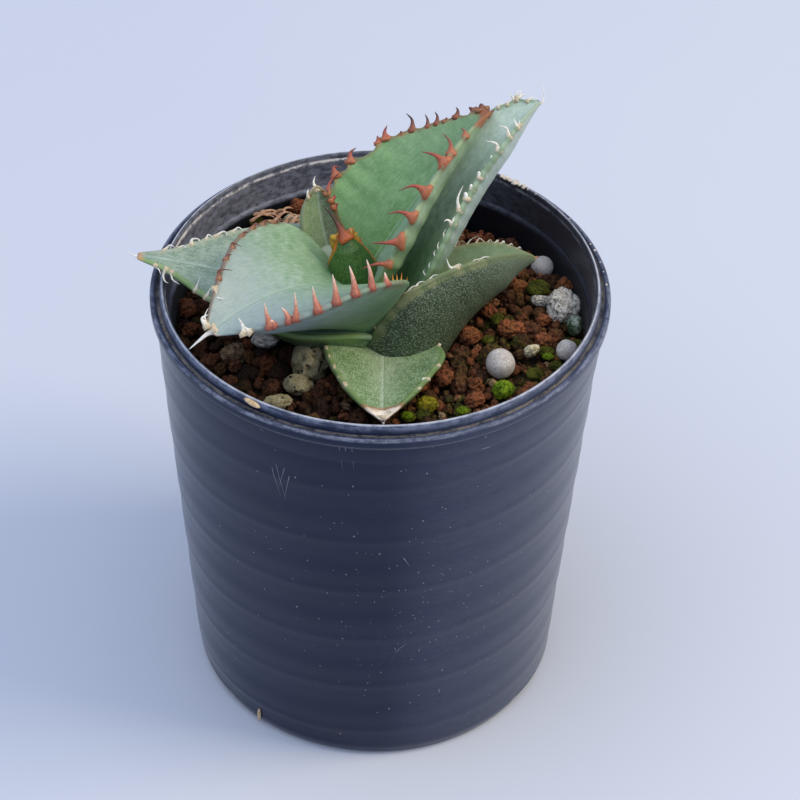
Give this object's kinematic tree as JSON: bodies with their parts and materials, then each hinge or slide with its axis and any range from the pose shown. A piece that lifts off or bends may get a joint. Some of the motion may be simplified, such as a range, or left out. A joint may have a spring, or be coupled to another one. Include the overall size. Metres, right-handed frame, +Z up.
{
  "type": "potted agave titanota",
  "caption": "Young agave with broad toothed leaves round a short stem, in a round ribbed nursery pot filled with clay grit, pumice and moss.",
  "frame": {"origin": "on the surface the pot stands on, at the centre of the pot's base", "axes": "+Z up; -Y toward the side with the front leaf, +X to the right of it"},
  "size_m": [0.0949, 0.09, 0.1275],
  "materials": {
    "pot": "satin moulded plastic with fine scratches and dust",
    "soil": "baked clay granules, rough, dry on top",
    "stem": "fibrous, dry",
    "leaf": "waxy succulent skin with a pale bloom",
    "white_grain": "smooth, matte",
    "pumice": "porous, rough",
    "stone": "rough",
    "moss": "soft cushion moss",
    "clay": "baked clay, rough",
    "dry_flake": "dry, papery"
  },
  "bodies": {
    "root": {"pot": "pot", "stem": "stem", "leaf_near_left": "leaf", "leaf_inner_tall": "leaf", "leaf_right": "leaf", "leaf_left": "leaf", "leaf_front": "leaf", "leaf_outer_tall": "leaf", "leaf_centre": "leaf", "leaf_small_back": "leaf", "leaf_back": "leaf", "ball_white_front": "white_grain", "ball_white_back": "white_grain", "pumice_right": "pumice", "pumice_right_lobe": "pumice", "stone_mossy": "stone", "stone_pale_right": "stone", "stone_cream_right": "stone", "moss_green": "moss", "moss_yellow": "moss", "clay_right_1": "clay", "clay_right_2": "clay", "clay_right_3": "clay", "clay_right_4": "clay", "clay_right_5": "clay", "clay_right_6": "clay", "clay_front": "clay", "clay_front_low": "clay", "pumice_front_left": "pumice", "pumice_front_low": "pumice", "pumice_left": "pumice", "pumice_front_flat": "pumice", "clay_left_1": "clay", "clay_left_2": "clay", "clay_back": "clay", "pebble_back": "stone", "dry_flake_back": "dry_flake", "soil": "soil"}
  },
  "joints": []
}
